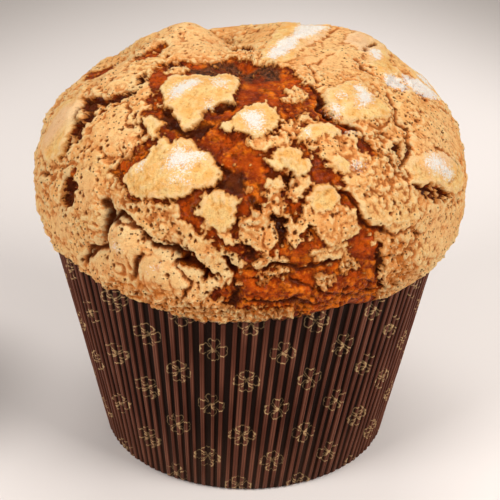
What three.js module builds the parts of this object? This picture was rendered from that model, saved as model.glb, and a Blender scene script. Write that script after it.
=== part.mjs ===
// A tall domed loaf of sweet bread in its fluted paper case, in millimetres, +Z up.
// The origin is the centre of the flat base, and the shown side faces -Y.
import * as THREE from 'three';

// Driving dimensions of the paper case, a cone of pleated paper with a flat bottom.
const caseBaseRadius = 64.6;
const caseRimRadius = 87.6;
const caseHeight = 109;
const paper = 0.6;
const fluteCount = 120;
const fluteDepth = 1.5;
const fluteLean = 3;
const footWidth = 0.4;
const footHeight = 1.2;
const fit = 0.35;

// Driving dimensions of the domed crown, measured from its widest level.
const crownRadius = 95;
const crownLevel = 117.7;
const crownRise = 64.4;
const crownFullness = 2.44;
const crownTuck = 50;
const crownOffset = 1.1;

// The crust: how far its glaze stands up and how its edge hangs over the case.
const glazeRise = 2.2;
const raggedness = 0.2;
const lipThickness = 1.7;
const lipRounding = 1.6;
const lipScallop = 0.9;
const roughness = 0.7;

// The grid of the crust, with fewer longitudes near the top.
const longitudes = 128;
const sideRows = 25;
const shoulderRows = 9;
const topRows = 5;
const shoulderStart = 47;
const topStart = 71;
const topEnd = 86.5;

// Lowest level of the crust round the case, as longitude in degrees and height.
const lipHeights = [
  [-180, 101], [-110, 104], [-62, 106], [-47, 106.6], [-31, 102.4], [-14, 96], [0, 97],
  [24, 100], [47, 97], [75, 101], [130, 99.5], [180, 101],
];

// Plates of glaze on the shown side, each by its longitude and elevation in degrees,
// its half length and half width in millimetres and the turn of its length from level.
const plates = [
  { lon: -24, el: 50, long: 18, wide: 13, turn: -12, rise: 1.3 },
  { lon: -22, el: 27, long: 20.5, wide: 13.5, turn: 3, rise: 1.3 },
  { lon: 3, el: 43, long: 10, wide: 8, turn: 0, rise: 1 },
  { lon: 44, el: 45, long: 14.5, wide: 8.5, turn: 12, rise: 1.2 },
  { lon: 58, el: 18, long: 18, wide: 9, turn: -14, rise: 1.3 },
  { lon: -8, el: 18, long: 10.5, wide: 8.5, turn: 0, rise: 1 },
  { lon: 1, el: 12, long: 7.5, wide: 7, turn: 0, rise: 0.8 },
  { lon: 11, el: 31, long: 9.5, wide: 4.5, turn: 0, rise: 1 },
  { lon: 5, el: 22, long: 8, wide: 7, turn: 20, rise: 0.7 },
  { lon: 20, el: 15, long: 13, wide: 8, turn: -10, rise: 0.8 },
  { lon: 19, el: 22, long: 8, wide: 4, turn: 0, rise: 1 },
  { lon: 26, el: 28, long: 7, wide: 4, turn: 0, rise: 1 },
  { lon: 34, el: 24, long: 9, wide: 6, turn: 0, rise: 0.7 },
  { lon: 44, el: 31, long: 13, wide: 7, turn: -5, rise: 0.8 },
  { lon: 32, el: 16, long: 8, wide: 7.5, turn: -20, rise: 0.7 },
  { lon: 41, el: 13, long: 10, wide: 8, turn: -20, rise: 0.8 },
  { lon: 57, el: 6, long: 18, wide: 8.5, turn: -25, rise: 0.8 },
  { lon: 58, el: 30, long: 16, wide: 8.5, turn: 0, rise: 0.8 },
  { lon: 72, el: 20, long: 17, wide: 8, turn: 0, rise: 0.9 },
  { lon: 47, el: -2, long: 16, wide: 9, turn: -40, rise: 1 },
  { lon: 58, el: 57, long: 17, wide: 10, turn: -8, rise: 0.8 },
  { lon: 78, el: 41, long: 20, wide: 7, turn: -20, rise: 1 },
  { lon: 103, el: 74, long: 22, wide: 12, turn: -20, rise: 1.2 },
  { lon: 113, el: 52, long: 20, wide: 10, turn: -30, rise: 0.9 },
  { lon: -36, el: 37, long: 7, wide: 5, turn: 0, rise: 0.7 },
  { lon: -50, el: 33, long: 18, wide: 11, turn: -5, rise: 1 },
  { lon: -39, el: 27, long: 10, wide: 8, turn: 0, rise: 0.8 },
  { lon: -72, el: 24, long: 13, wide: 18, turn: 0, rise: 1 },
  { lon: -44, el: 14, long: 12, wide: 15, turn: 0, rise: 1.1 },
  { lon: -21, el: 13, long: 16, wide: 8.5, turn: 11, rise: 0.7 },
  { lon: -92, el: 60, long: 25, wide: 12, turn: 26, rise: 1 },
  { lon: -72, el: 43, long: 19, wide: 8, turn: 0, rise: 0.9 },
  { lon: -145, el: 70, long: 13, wide: 9, turn: 60, rise: 1.1 },
];

// Broad swellings and hollows of the crown, in the same terms.
const swellings = [
  { lon: -31, el: 7, long: 8, wide: 8.5, turn: 0, rise: 3.6 },
  { lon: -22, el: 1, long: 9, wide: 8, turn: 40, rise: 3.4 },
  { lon: -37, el: -4, long: 12, wide: 8, turn: 30, rise: 2.8 },
  { lon: -17, el: -7, long: 15, wide: 9, turn: 20, rise: 2.6 },
  { lon: -47, el: 12, long: 14, wide: 24, turn: 0, rise: 2 },
  { lon: -70, el: 24, long: 18, wide: 24, turn: 0, rise: 1.6 },
  { lon: 41, el: 12, long: 13, wide: 12, turn: 0, rise: 1.6 },
  { lon: 47, el: -3, long: 13, wide: 9, turn: 0, rise: 2 },
  { lon: 60, el: 18, long: 18, wide: 14, turn: 0, rise: 1.6 },
  { lon: 44, el: 44, long: 18, wide: 12, turn: 0, rise: 1.4 },
  { lon: -24, el: 49, long: 22, wide: 16, turn: 0, rise: 1.5 },
  { lon: -22, el: 26, long: 24, wide: 16, turn: 0, rise: 1 },
  { lon: -124, el: 58, long: 20, wide: 15, turn: 0, rise: 3.6 },
  { lon: 150, el: 66, long: 26, wide: 14, turn: 0, rise: 2 },
  { lon: 12, el: -4, long: 30, wide: 7, turn: 0, rise: 1.2 },
  { lon: 10, el: 4, long: 26, wide: 7, turn: 0, rise: -1.2 },
  { lon: -35, el: 68, long: 13, wide: 8, turn: 10, rise: -3 },
  { lon: -19, el: 74, long: 7, wide: 5, turn: 0, rise: -3.2 },
  { lon: -165, el: 58, long: 12, wide: 17, turn: 0, rise: -9 },
  { lon: -104, el: 37, long: 18, wide: 12, turn: 0, rise: -5.5 },
  { lon: -84, el: -7, long: 20, wide: 8, turn: 0, rise: -5 },
  { lon: 84, el: -2, long: 20, wide: 12, turn: 0, rise: -1 },
  { lon: 114, el: 50, long: 16, wide: 11, turn: 0, rise: 1.5 },
  { lon: -12, el: 34, long: 12, wide: 7, turn: 0, rise: -1.4 },
  { lon: 4, el: 60, long: 14, wide: 9, turn: 0, rise: -1 },
];

// Cracks in the crust: the corners of each line in degrees, with its half width and depth.
const cracks = [
  { width: 3.4, depth: 4.5, path: [[-74, 34], [-66, 36], [-62, 33], [-63, 26], [-60, 20]] },
  { width: 3.2, depth: 3, path: [[-70, 51], [-60, 45], [-47, 46], [-42, 39]] },
  { width: 2.8, depth: 2.6, path: [[-40, 43], [-29, 39], [-20, 37], [-8, 32]] },
  { width: 3.2, depth: 5.5, path: [[-39, 15], [-36, 12], [-37, 5], [-43, -1]] },
  { width: 3, depth: 3.6, path: [[-35, 12], [-30, 13], [-26, 10], [-18, 8], [-9, 2]] },
  { width: 3, depth: 3, path: [[60, 38], [54, 30], [50, 25], [45, 20]] },
  { width: 3, depth: 3, path: [[45, 19], [51, 16], [60, 11]] },
  { width: 3, depth: 3.4, path: [[25, 21], [28, 13], [33, 5], [35, -6]] },
  { width: 2.6, depth: 2.4, path: [[28, 13], [37, 8], [46, 6]] },
  { width: 3, depth: 3.4, path: [[36, 55], [34, 50], [30, 43], [37, 36]] },
  { width: 3, depth: 2.8, path: [[86, 53], [76, 50], [73, 45]] },
  { width: 3, depth: 2, path: [[79, 37], [82, 32], [85, 26]] },
  { width: 2.8, depth: 2, path: [[-1, -5], [10, -5], [23, -6], [32, -7]] },
  { width: 2.8, depth: 1.8, path: [[3, 4], [12, 3], [21, 5]] },
];

// The hidden side carries more of the same, laid out by rule: rows of plates with
// a fold between neighbours here and there.
const hiddenStart = 84;
const hiddenEnd = 264;
const hiddenRows = [-2, 14, 31, 48];
const hiddenPitch = 30;
const hiddenJitter = 5;
const foldChance = 0.4;

const degree = Math.PI / 180;
const crownCentre = new THREE.Vector3(crownOffset, 0, crownLevel);

function smooth(low, high, value) {
  const t = THREE.MathUtils.clamp((value - low) / (high - low), 0, 1);
  return t * t * (3 - 2 * t);
}

// One repeatable number from 0 to 1 for each whole-numbered place.
function hash(x, y, z) {
  let h = Math.imul(x, 374761393) ^ Math.imul(y, 668265263) ^ Math.imul(z, 2147483647);
  h = Math.imul(h ^ (h >>> 13), 1274126177);
  return ((h ^ (h >>> 16)) >>> 0) / 4294967296;
}

// Smooth noise from -1 to 1 over points in space.
function noise(point, size, seed) {
  const x = point.x / size + seed;
  const y = point.y / size;
  const z = point.z / size;
  const [i, j, k] = [Math.floor(x), Math.floor(y), Math.floor(z)];
  const [u, v, w] = [smooth(0, 1, x - i), smooth(0, 1, y - j), smooth(0, 1, z - k)];
  let total = 0;
  for (const a of [0, 1]) {
    for (const b of [0, 1]) {
      for (const c of [0, 1]) {
        const weight = (a ? u : 1 - u) * (b ? v : 1 - v) * (c ? w : 1 - w);
        total += weight * hash(i + a, j + b, k + c);
      }
    }
  }
  return 2 * total - 1;
}

function direction(lon, el) {
  const flat = Math.cos(el * degree);
  return new THREE.Vector3(
    flat * Math.sin(lon * degree),
    -flat * Math.cos(lon * degree),
    Math.sin(el * degree),
  );
}

// Distance from the crown's centre to the plain crown, without relief.
function plainReach(el) {
  const across = Math.cos(el * degree) / crownRadius;
  const up = Math.abs(Math.sin(el * degree));
  if (el < 0) {
    return 1 / Math.hypot(across, up / crownTuck);
  }
  const power = crownFullness;
  return (across ** power + (up / crownRise) ** power) ** (-1 / power);
}

// A feature's own frame: where its middle points and which way its length and width run.
function placed(feature) {
  const middle = direction(feature.lon, feature.el);
  const east = direction(feature.lon + 90, 0);
  const north = middle.clone().cross(east).normalize();
  if (north.z < 0) {
    north.negate();
  }
  const turn = (feature.turn ?? 0) * degree;
  const along = east.clone().multiplyScalar(Math.cos(turn)).addScaledVector(north, Math.sin(turn));
  const across = north.clone().multiplyScalar(Math.cos(turn)).addScaledVector(east, -Math.sin(turn));
  return { ...feature, middle, along, across, reach: plainReach(feature.el) };
}

// How far a direction lies from a feature's middle, 1 being its outline.
function ovalDistance(feature, ray) {
  if (ray.dot(feature.middle) < 0.2) {
    return Infinity;
  }
  const along = feature.reach * ray.dot(feature.along) / feature.long;
  const across = feature.reach * ray.dot(feature.across) / feature.wide;
  return Math.hypot(along, across);
}

// Distance in millimetres from a direction to a crack's broken line.
function lineDistance(crack, ray) {
  let nearest = Infinity;
  for (let i = 1; i < crack.corners.length; i += 1) {
    const segment = new THREE.Line3(crack.corners[i - 1], crack.corners[i]);
    const foot = segment.closestPointToPoint(ray, true, new THREE.Vector3());
    nearest = Math.min(nearest, foot.distanceTo(ray));
  }
  return nearest * crownRadius;
}

function hiddenFeatures() {
  const more = { plates: [], cracks: [] };
  hiddenRows.forEach((el, row) => {
    const pitch = hiddenPitch / (crownRadius * Math.cos(el * degree) * degree);
    const count = Math.floor((hiddenEnd - hiddenStart) / pitch);
    for (let i = 0; i < count; i += 1) {
      const lon = hiddenStart + (i + 0.5 * (row % 2) + 0.5) * pitch + hiddenJitter * (hash(i, row, 1) - 0.5);
      const level = el + hiddenJitter * (hash(i, row, 2) - 0.5);
      more.plates.push({
        lon,
        el: level,
        long: 10 + 5 * hash(i, row, 3),
        wide: 7 + 3 * hash(i, row, 4),
        turn: 60 * (hash(i, row, 5) - 0.5),
        rise: 0.7 + 0.5 * hash(i, row, 6),
      });
      if (hash(i, row, 7) < foldChance) {
        const side = lon + pitch / 2;
        const path = [[side - 3, level + 9], [side + 2, level], [side - 1, level - 8]];
        more.cracks.push({ width: 3, depth: 2.6, path });
      }
    }
  });
  return more;
}

const hidden = hiddenFeatures();
const allPlates = [...plates, ...hidden.plates].map(placed);
const allSwellings = swellings.map(placed);
const allCracks = [...cracks, ...hidden.cracks].map((crack) => ({
  ...crack,
  corners: crack.path.map(([lon, el]) => direction(lon, el)),
}));

// Height of the crust's relief over the plain crown, in millimetres.
function relief(ray) {
  const point = ray.clone().multiplyScalar(crownRadius);
  const wobble = raggedness * noise(point, 7, 3);
  let glaze = 0;
  for (const plate of allPlates) {
    const distance = ovalDistance(plate, ray) + wobble;
    glaze = Math.max(glaze, plate.rise * smooth(1.2, 0.8, distance));
  }
  let height = glazeRise * glaze;
  for (const swelling of allSwellings) {
    height += swelling.rise * Math.exp(-(ovalDistance(swelling, ray) ** 2));
  }
  for (const crack of allCracks) {
    height -= crack.depth * Math.exp(-((lineDistance(crack, ray) / crack.width) ** 2));
  }
  return height + roughness * (noise(point, 16, 11) + 0.5 * noise(point, 9, 23)) - glazeRise / 2;
}

// Radius of the case's outer face at a height, over the flutes' ridges.
function caseRadius(z) {
  return caseBaseRadius + (caseRimRadius - caseBaseRadius) * z / caseHeight;
}

function lipHeight(lon) {
  const turn = THREE.MathUtils.euclideanModulo(lon + 180, 360) - 180;
  const next = lipHeights.findIndex(([at]) => at > turn);
  const [[startLon, startZ], [endLon, endZ]] = [lipHeights[next - 1], lipHeights[next]];
  const level = THREE.MathUtils.lerp(startZ, endZ, smooth(startLon, endLon, turn));
  return level + lipScallop * noise(direction(lon, 0).multiplyScalar(crownRadius), 9, 31);
}

// A point of the crust, kept outside the paper where it hangs over it.
function crustPoint(lon, el) {
  const ray = direction(lon, el);
  const point = ray.clone().multiplyScalar(plainReach(el) + relief(ray)).add(crownCentre);
  const least = caseRadius(point.z) + lipThickness;
  const flat = Math.hypot(point.x, point.y);
  if (point.z < caseHeight && flat < least) {
    point.x *= least / flat;
    point.y *= least / flat;
  }
  return point;
}

// Elevation at which the plain crown stands at a given height.
function elevationAt(z) {
  const drop = (crownLevel - z) / crownTuck;
  return -Math.atan2(crownLevel - z, crownRadius * Math.sqrt(1 - drop * drop)) / degree;
}

// A closed body from rings of points, listed from its underside outwards and up.
// A ring may have half as many points as the one before it.
class RingBody {
  constructor(bottom) {
    this.points = [bottom];
    this.faces = [];
    this.ring = [0];
  }

  addRing(count, place) {
    const start = this.points.length;
    for (let i = 0; i < count; i += 1) {
      this.points.push(place(i, 360 * i / count));
    }
    const ring = Array.from({ length: count }, (_, i) => start + i);
    this.join(this.ring, ring);
    this.ring = ring;
  }

  join(lower, upper) {
    const halved = lower.length === 2 * upper.length;
    for (let i = 0; i < upper.length; i += 1) {
      const next = (i + 1) % upper.length;
      if (lower.length === 1) {
        this.faces.push(lower[0], upper[next], upper[i]);
      } else if (halved) {
        const [a, b, c] = [lower[2 * i], lower[2 * i + 1], lower[(2 * i + 2) % lower.length]];
        this.faces.push(a, b, upper[i], b, upper[next], upper[i], b, c, upper[next]);
      } else {
        this.addQuad(lower[i], lower[next], upper[next], upper[i]);
      }
    }
  }

  // Each four-sided face is split along its shorter diagonal.
  addQuad(a, b, c, d) {
    const [first, second] = [this.spread(a, c), this.spread(b, d)];
    if (first < second) {
      this.faces.push(a, b, c, a, c, d);
    } else {
      this.faces.push(a, b, d, b, c, d);
    }
  }

  spread(from, to) {
    return this.points[from].distanceTo(this.points[to]);
  }

  close(top) {
    const last = this.points.push(top) - 1;
    for (let i = 0; i < this.ring.length; i += 1) {
      this.faces.push(this.ring[i], this.ring[(i + 1) % this.ring.length], last);
    }
  }

  geometry() {
    const geometry = new THREE.BufferGeometry().setFromPoints(this.points);
    geometry.setIndex(this.faces);
    geometry.computeVertexNormals();
    return geometry;
  }
}

function onRing(lon, radius, z) {
  return direction(lon, 0).multiplyScalar(radius).setZ(z);
}

function makeLoaf() {
  const innerRadius = (z) => caseRadius(z) - fluteDepth - paper - fit;
  const floor = paper + fit;
  const foot = footHeight + fit;
  const body = new RingBody(new THREE.Vector3(0, 0, floor));
  const add = (count, place) => body.addRing(count, (i, lon) => place(lon));

  // Inside the case, then over its rim and down its outer face to the crust's edge.
  add(longitudes, (lon) => onRing(lon, innerRadius(foot) - footWidth, floor));
  add(longitudes, (lon) => onRing(lon, innerRadius(foot), foot));
  add(longitudes, (lon) => onRing(lon, innerRadius(caseHeight), caseHeight + fit));
  add(longitudes, (lon) => onRing(lon, caseRadius(caseHeight) + fit, caseHeight + fit));
  add(longitudes, (lon) => onRing(lon, caseRadius(lipHeight(lon)) + fit, lipHeight(lon)));

  // The crust, from its hanging edge to the top of the crown.
  const lowest = (lon) => elevationAt(lipHeight(lon) + lipRounding);
  for (let row = 0; row < sideRows; row += 1) {
    const t = row / sideRows;
    add(longitudes, (lon) => crustPoint(lon, THREE.MathUtils.lerp(lowest(lon), shoulderStart, t)));
  }
  for (let row = 0; row < shoulderRows; row += 1) {
    const el = THREE.MathUtils.lerp(shoulderStart, topStart, row / shoulderRows);
    add(longitudes / 2, (lon) => crustPoint(lon, el));
  }
  for (let row = 0; row <= topRows; row += 1) {
    const el = THREE.MathUtils.lerp(topStart, topEnd, row / topRows);
    add(longitudes / 4, (lon) => crustPoint(lon, el));
  }
  body.close(crustPoint(0, 90));
  return body.geometry();
}

function makeCase() {
  // Ridges and grooves take turns round the wall, none quite like the next.
  const flute = (i) => fluteDepth * (i % 2 ? 0.2 * hash(i, 2, 2) : 0.85 + 0.15 * hash(i, 1, 1));
  const count = 2 * fluteCount;
  const footRadius = caseRadius(footHeight) - fluteDepth - footWidth;
  const body = new RingBody(new THREE.Vector3(0, 0, 0));
  const lean = (z) => Math.tan(fluteLean * degree) * (z - caseHeight / 2) / caseRadius(z) / degree;
  const ring = (z, radius) => body.addRing(count, (i, lon) => onRing(lon + lean(z), radius(i), z));
  const outer = (z) => ring(z, (i) => caseRadius(z) - flute(i));
  const inner = (z) => ring(z, (i) => caseRadius(z) - flute(i) - paper);
  const flat = (z) => ring(z, () => footRadius);

  flat(0);
  outer(footHeight);
  outer(caseHeight);
  inner(caseHeight);
  inner(footHeight);
  flat(paper);
  body.close(new THREE.Vector3(0, 0, paper));
  return body.geometry();
}

const crustLook = new THREE.MeshStandardMaterial({ color: 0xd59c5f, roughness: 0.75, metalness: 0 });
const paperLook = new THREE.MeshStandardMaterial({ color: 0x3f241b, roughness: 0.7, metalness: 0 });

const panettone = new THREE.Group();

const loaf = new THREE.Mesh(makeLoaf(), crustLook);
loaf.name = 'loaf';
panettone.add(loaf);

const paperCase = new THREE.Mesh(makeCase(), paperLook);
paperCase.name = 'paper_case';
panettone.add(paperCase);

export default panettone;
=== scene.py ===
"""A panettone in its pleated paper case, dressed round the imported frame."""

import math

import bmesh
import bpy
import numpy as np
from mathutils import Matrix, Vector


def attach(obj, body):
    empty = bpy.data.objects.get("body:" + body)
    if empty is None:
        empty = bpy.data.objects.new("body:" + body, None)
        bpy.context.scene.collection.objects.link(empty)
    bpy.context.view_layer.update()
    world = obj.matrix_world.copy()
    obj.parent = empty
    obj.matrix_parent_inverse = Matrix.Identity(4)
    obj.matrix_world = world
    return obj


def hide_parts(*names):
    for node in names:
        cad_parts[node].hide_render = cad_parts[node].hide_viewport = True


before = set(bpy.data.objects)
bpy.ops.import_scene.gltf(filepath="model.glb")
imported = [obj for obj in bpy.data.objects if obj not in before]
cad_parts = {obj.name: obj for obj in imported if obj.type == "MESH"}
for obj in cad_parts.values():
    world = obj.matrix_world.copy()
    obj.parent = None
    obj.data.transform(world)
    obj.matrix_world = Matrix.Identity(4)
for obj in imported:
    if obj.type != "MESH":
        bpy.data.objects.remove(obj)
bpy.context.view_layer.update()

MM = 0.001

# The paper case, in millimetres: a cone of pleated paper.
CASE_BASE_RADIUS = 64.6
CASE_RIM_RADIUS = 87.6
CASE_HEIGHT = 109.0
PAPER = 0.6
PLEATS = 120
PLEAT_DEPTH = 1.5
PLEAT_LEAN = 3.0
POINTS_A_PLEAT = 14
FOOT_INSET = 1.9
FOOT_HEIGHT = 1.2
FIT = 0.35

# The print on the paper: flowers in staggered rows. One unit of the print is 100 mm.
PRINT_UNIT = 100
FLOWER_PITCH = 0.288
FLOWER_ROW = 0.154
FLOWER_START = 0.183
FLOWER_RADIUS = 0.060
PETAL_ANGLE = 0.58

# The crown, in millimetres from its widest level, and the crust's hanging edge.
CROWN_RADIUS = 95.0
CROWN_LEVEL = 117.7
CROWN_RISE = 64.4
CROWN_FULLNESS = 2.44
CROWN_TUCK = 50.0
CROWN_OFFSET = 1.1
LIP_THICKNESS = 1.7
LIP_ROUNDING = 1.6
LIP_SCALLOP = 0.9
LIP_HEIGHTS = [
    (-180, 101), (-110, 104), (-62, 106), (-47, 106.6), (-31, 102.4), (-14, 96), (0, 97),
    (24, 100), (47, 97), (75, 101), (130, 99.5), (180, 101),
]

# The loaf's grid: rings of points below the crown, how far the rest is drawn to the front,
# and the angle from the front, in radians, beyond which nothing is moved.
RINGS_BELOW = 5
GATHERING = 0.72
BEHIND = 3.1

# The side that the photograph doesn't show: rows of plates by their elevation in degrees,
# the plates' spacing in millimetres and the longitude where they begin.
HIDDEN_ROWS = (-2, 14, 31, 48)
HIDDEN_SPACING = 30
HIDDEN_START = 84

# Swellings and hollows: longitude and elevation in degrees, half length and half
# width in millimetres, turn in degrees, rise in millimetres.
SWELLINGS = [
    (-31, 7, 8, 8.5, 0, 3.6), (-22, 1, 9, 8, 40, 3.4), (-37, -4, 12, 8, 30, 2.8),
    (-17, -7, 15, 9, 20, 2.6), (-47, 12, 14, 24, 0, 2), (-70, 24, 18, 24, 0, 1.6),
    (41, 12, 13, 12, 0, 1.6), (47, -3, 13, 9, 0, 2), (60, 18, 18, 14, 0, 1.6),
    (44, 44, 18, 12, 0, 1.4), (-24, 49, 22, 16, 0, 1.5), (-22, 26, 24, 16, 0, 1),
    (-134, 60, 14, 14, 0, 8), (150, 66, 26, 14, 0, 2), (12, -4, 30, 7, 0, 1.2),
    (10, 4, 26, 7, 0, -1.2), (-35, 68, 13, 8, 10, -3), (-19, 74, 7, 5, 0, -3.2),
    (-160, 62, 15, 22, 0, -10), (-104, 37, 18, 12, 0, -6), (-84, -7, 20, 8, 0, -5),
    (84, -2, 20, 12, 0, -1), (122, 47, 20, 14, 0, 3.8), (-12, 34, 12, 7, 0, -1.4),
    (4, 60, 14, 9, 0, -1),
]

# Cracks and folds: half width and depth in millimetres, then the line's corners.
CRACKS = {
    "thin left": (0.8, 1.4, [(-52, 40), (-48, 38), (-45, 35), (-41, 35)]),
    "deep left": (2.4, 5.5, [(-39, 15), (-37, 14), (-36, 12), (-37, 9), (-37, 5)]),
    "lower left": (1.5, 3, [(-38, 4), (-42, 2), (-43, -1)]),
    "under the field": (2.2, 4.5, [(-26, 10), (-24, 8), (-21, 8), (-18, 8), (-15, 6)]),
    "over the lobe": (1.8, 4.5, [(-30, 13), (-33, 13), (-35, 11)]),
    "lobe seam": (1.2, 2, [(-26, 5), (-27, 3), (-28, -1)]),
    "slab seam": (1.8, 3.6, [(-17, 5), (-14, 5), (-12, 4), (-9, 2)]),
    "front left": (1.5, 3, [(-6, 7), (-5, 6), (-4, 4), (-3, 2)]),
    "left shade": (3, 4, [(-55, 15), (-51, 11)]),
    "edge": (1.1, 1.5, [(-70, 15), (-64, 14), (-71, 10)]),
    "top right crack": (1.3, 2.4, [(86, 53), (76, 50), (74, 47), (73, 45)]),
    "top right fold": (1.6, 2.4, [(99, 52), (113, 44), (113, 43)]),
    "far seam": (1.1, 1.6, [(79, 37), (80, 34), (85, 30), (85, 26)]),
    "right nick": (1.1, 2, [(64, 41), (60, 36), (55, 34)]),
    "right seam": (1, 2.2, [(55, 33), (57, 30), (54, 28), (52, 25), (49, 24), (45, 22), (45, 19)]),
    "right inner": (1, 1.8, [(38, 35), (38, 32), (38, 29), (42, 26), (43, 21)]),
    "right edge": (1.1, 2, [(76, 38), (80, 36), (81, 31), (86, 26), (90, 20)]),
    "right small": (0.9, 1.6, [(69, 19), (69, 15), (67, 14)]),
    "top middle": (0.9, 1.6, [(52, 65), (47, 61), (39, 55)]),
    "far left": (1.2, 2.2, [(-50, 15), (-51, 12), (-52, 8)]),
    "left gap": (1.3, 2.6, [(-37, 5), (-40, 2), (-43, 0), (-44, -2)]),
    "over the lobes": (1.1, 2, [(-35, 11), (-29, 12), (-25, 10), (-19, 9), (-15, 8), (-12, 5)]),
    "right of lobes": (1.0, 1.8, [(-17, 4), (-14, 0), (-15, -4)]),
    "under far right": (0.9, 1.4, [(45, 19), (47, 17), (51, 16), (55, 14), (60, 11)]),
    "over far right": (0.8, 1, [(62, 22), (66, 19), (70, 15), (68, 13)]),
    "right middle": (0.9, 1.7, [(28, 13), (33, 11), (37, 8), (43, 7), (46, 6)]),
    "right column": (1.1, 1.8, [(25, 21), (27, 19), (27, 16), (28, 13)]),
    "scratch": (0.7, 0.8, [(31, 22), (34, 19)]),
    "top one": (0.7, 0.9, [(50, 66), (61, 63), (85, 62)]),
    "top two": (0.7, 0.9, [(111, 63), (127, 55), (136, 43)]),
    "top three": (1.1, 2.2, [(31, 57), (36, 55), (35, 50)]),
    "beside right": (1.4, 3, [(34, 49), (29, 45), (30, 41), (34, 38), (37, 36)]),
    "front fold one": (1.5, 2, [(3, 4), (6, 5), (12, 3), (16, 4), (21, 5)]),
    "front fold two": (1.4, 1.6, [(10, 1), (14, -1), (21, -4), (25, -4)]),
    "front fold three": (1.6, 2, [(-1, -5), (5, -5), (10, -5), (16, -7), (23, -6), (32, -7)]),
    "beside far left": (1.5, 4, [(-71, 34), (-69, 30), (-63, 26), (-60, 21)]),
    "left rim": (1.6, 2, [(-87, 22), (-84, 18), (-81, 16)]),
    "behind far left": (2, 2, [(-90, 23), (-90, 26)]),
}

# Outlines on the crown, with the longitude and elevation of each corner in degrees.
# Thick pale plates of glaze.
PLATES = {
    "upper left": [(-47, 49), (-48, 53), (-50, 55), (-45, 57), (-40, 60), (-30, 62), (-24, 65),
        (-17, 65), (-7, 60), (-7, 56), (-8, 52), (-7, 49), (-10, 49), (-14, 48), (-16, 45), (-19, 45),
        (-18, 42), (-19, 40), (-21, 38), (-23, 37), (-26, 39), (-30, 41), (-32, 43), (-36, 43),
        (-41, 46)],
    "wide left": [(-31, 30), (-30, 32), (-29, 35), (-27, 34), (-25, 33), (-23, 35), (-19, 35),
        (-16, 33), (-13, 33), (-12, 32), (-11, 30), (-9, 28), (-8, 27), (-7, 26), (-9, 24), (-11, 23),
        (-12, 23), (-14, 22), (-15, 21), (-18, 20), (-20, 19), (-23, 19), (-26, 19), (-29, 18),
        (-31, 18), (-33, 20), (-35, 21), (-35, 23), (-34, 24), (-33, 26), (-32, 27)],
    "middle": [(-8, 42), (-6, 46), (-3, 48), (2, 50), (7, 49), (11, 47), (11, 45), (12, 43), (10, 41),
        (8, 39), (6, 39), (4, 37), (1, 37), (-1, 38), (-4, 38), (-6, 40)],
    "chip": [(-12, 40), (-11, 42), (-7, 42), (-6, 39), (-8, 38), (-10, 39)],
    "under middle": [(4, 31), (6, 32), (8, 34), (12, 34), (15, 33), (16, 31), (17, 30), (17, 28),
        (15, 26), (12, 26), (11, 28), (9, 28), (6, 28), (5, 29)],
    "front right": [(16, 22), (18, 24), (21, 24), (23, 22), (24, 20), (23, 19), (21, 17), (19, 17),
        (16, 17), (15, 19)],
    "islet": [(4, 25), (7, 26), (8, 26), (9, 25), (9, 24), (7, 23), (6, 24)],
    "front": [(-14, 17), (-13, 19), (-12, 21), (-10, 22), (-8, 23), (-6, 22), (-4, 22), (-2, 21),
        (-3, 19), (-3, 17), (-4, 15), (-5, 14), (-7, 13), (-9, 14), (-11, 14), (-11, 16), (-13, 16)],
    "chip left": [(-40, 38), (-39, 40), (-36, 40), (-33, 39), (-30, 38), (-32, 36), (-30, 34),
        (-32, 33), (-35, 35), (-38, 36)],
    "right": [(34, 49), (41, 51), (48, 51), (57, 51), (59, 48), (56, 45), (57, 41), (58, 38), (57, 36),
        (54, 35), (50, 36), (44, 37), (38, 38), (35, 39), (33, 42), (32, 44)],
    "far right": [(47, 23), (50, 24), (54, 24), (59, 23), (62, 21), (66, 19), (70, 16), (73, 12),
        (74, 9), (70, 8), (63, 10), (59, 12), (56, 15), (52, 16), (48, 17), (46, 19), (48, 21)],
    "far left": [(-74, 16), (-78, 18), (-81, 20), (-82, 24), (-84, 27), (-80, 30), (-77, 33),
        (-73, 33), (-69, 31), (-64, 31), (-65, 29), (-65, 27), (-63, 25), (-62, 22), (-61, 20),
        (-62, 18), (-66, 16)],
    "top": [(17, 77), (59, 86), (136, 80), (160, 64), (156, 56), (149, 51), (140, 47), (116, 61),
        (98, 69), (89, 72), (56, 71), (40, 72), (25, 73)],
    "by the right": [(28, 29), (29, 27), (29, 26), (27, 25), (25, 25), (24, 27), (22, 27), (23, 29),
        (26, 30)],
    "small right": [(26, 40), (30, 39), (31, 36), (28, 35), (24, 36), (21, 35), (18, 36), (15, 35),
        (17, 38), (20, 40)],
    "far top right": [(96, 50), (108, 46), (100, 43), (89, 40), (80, 43), (78, 46), (83, 50)],
}

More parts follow.
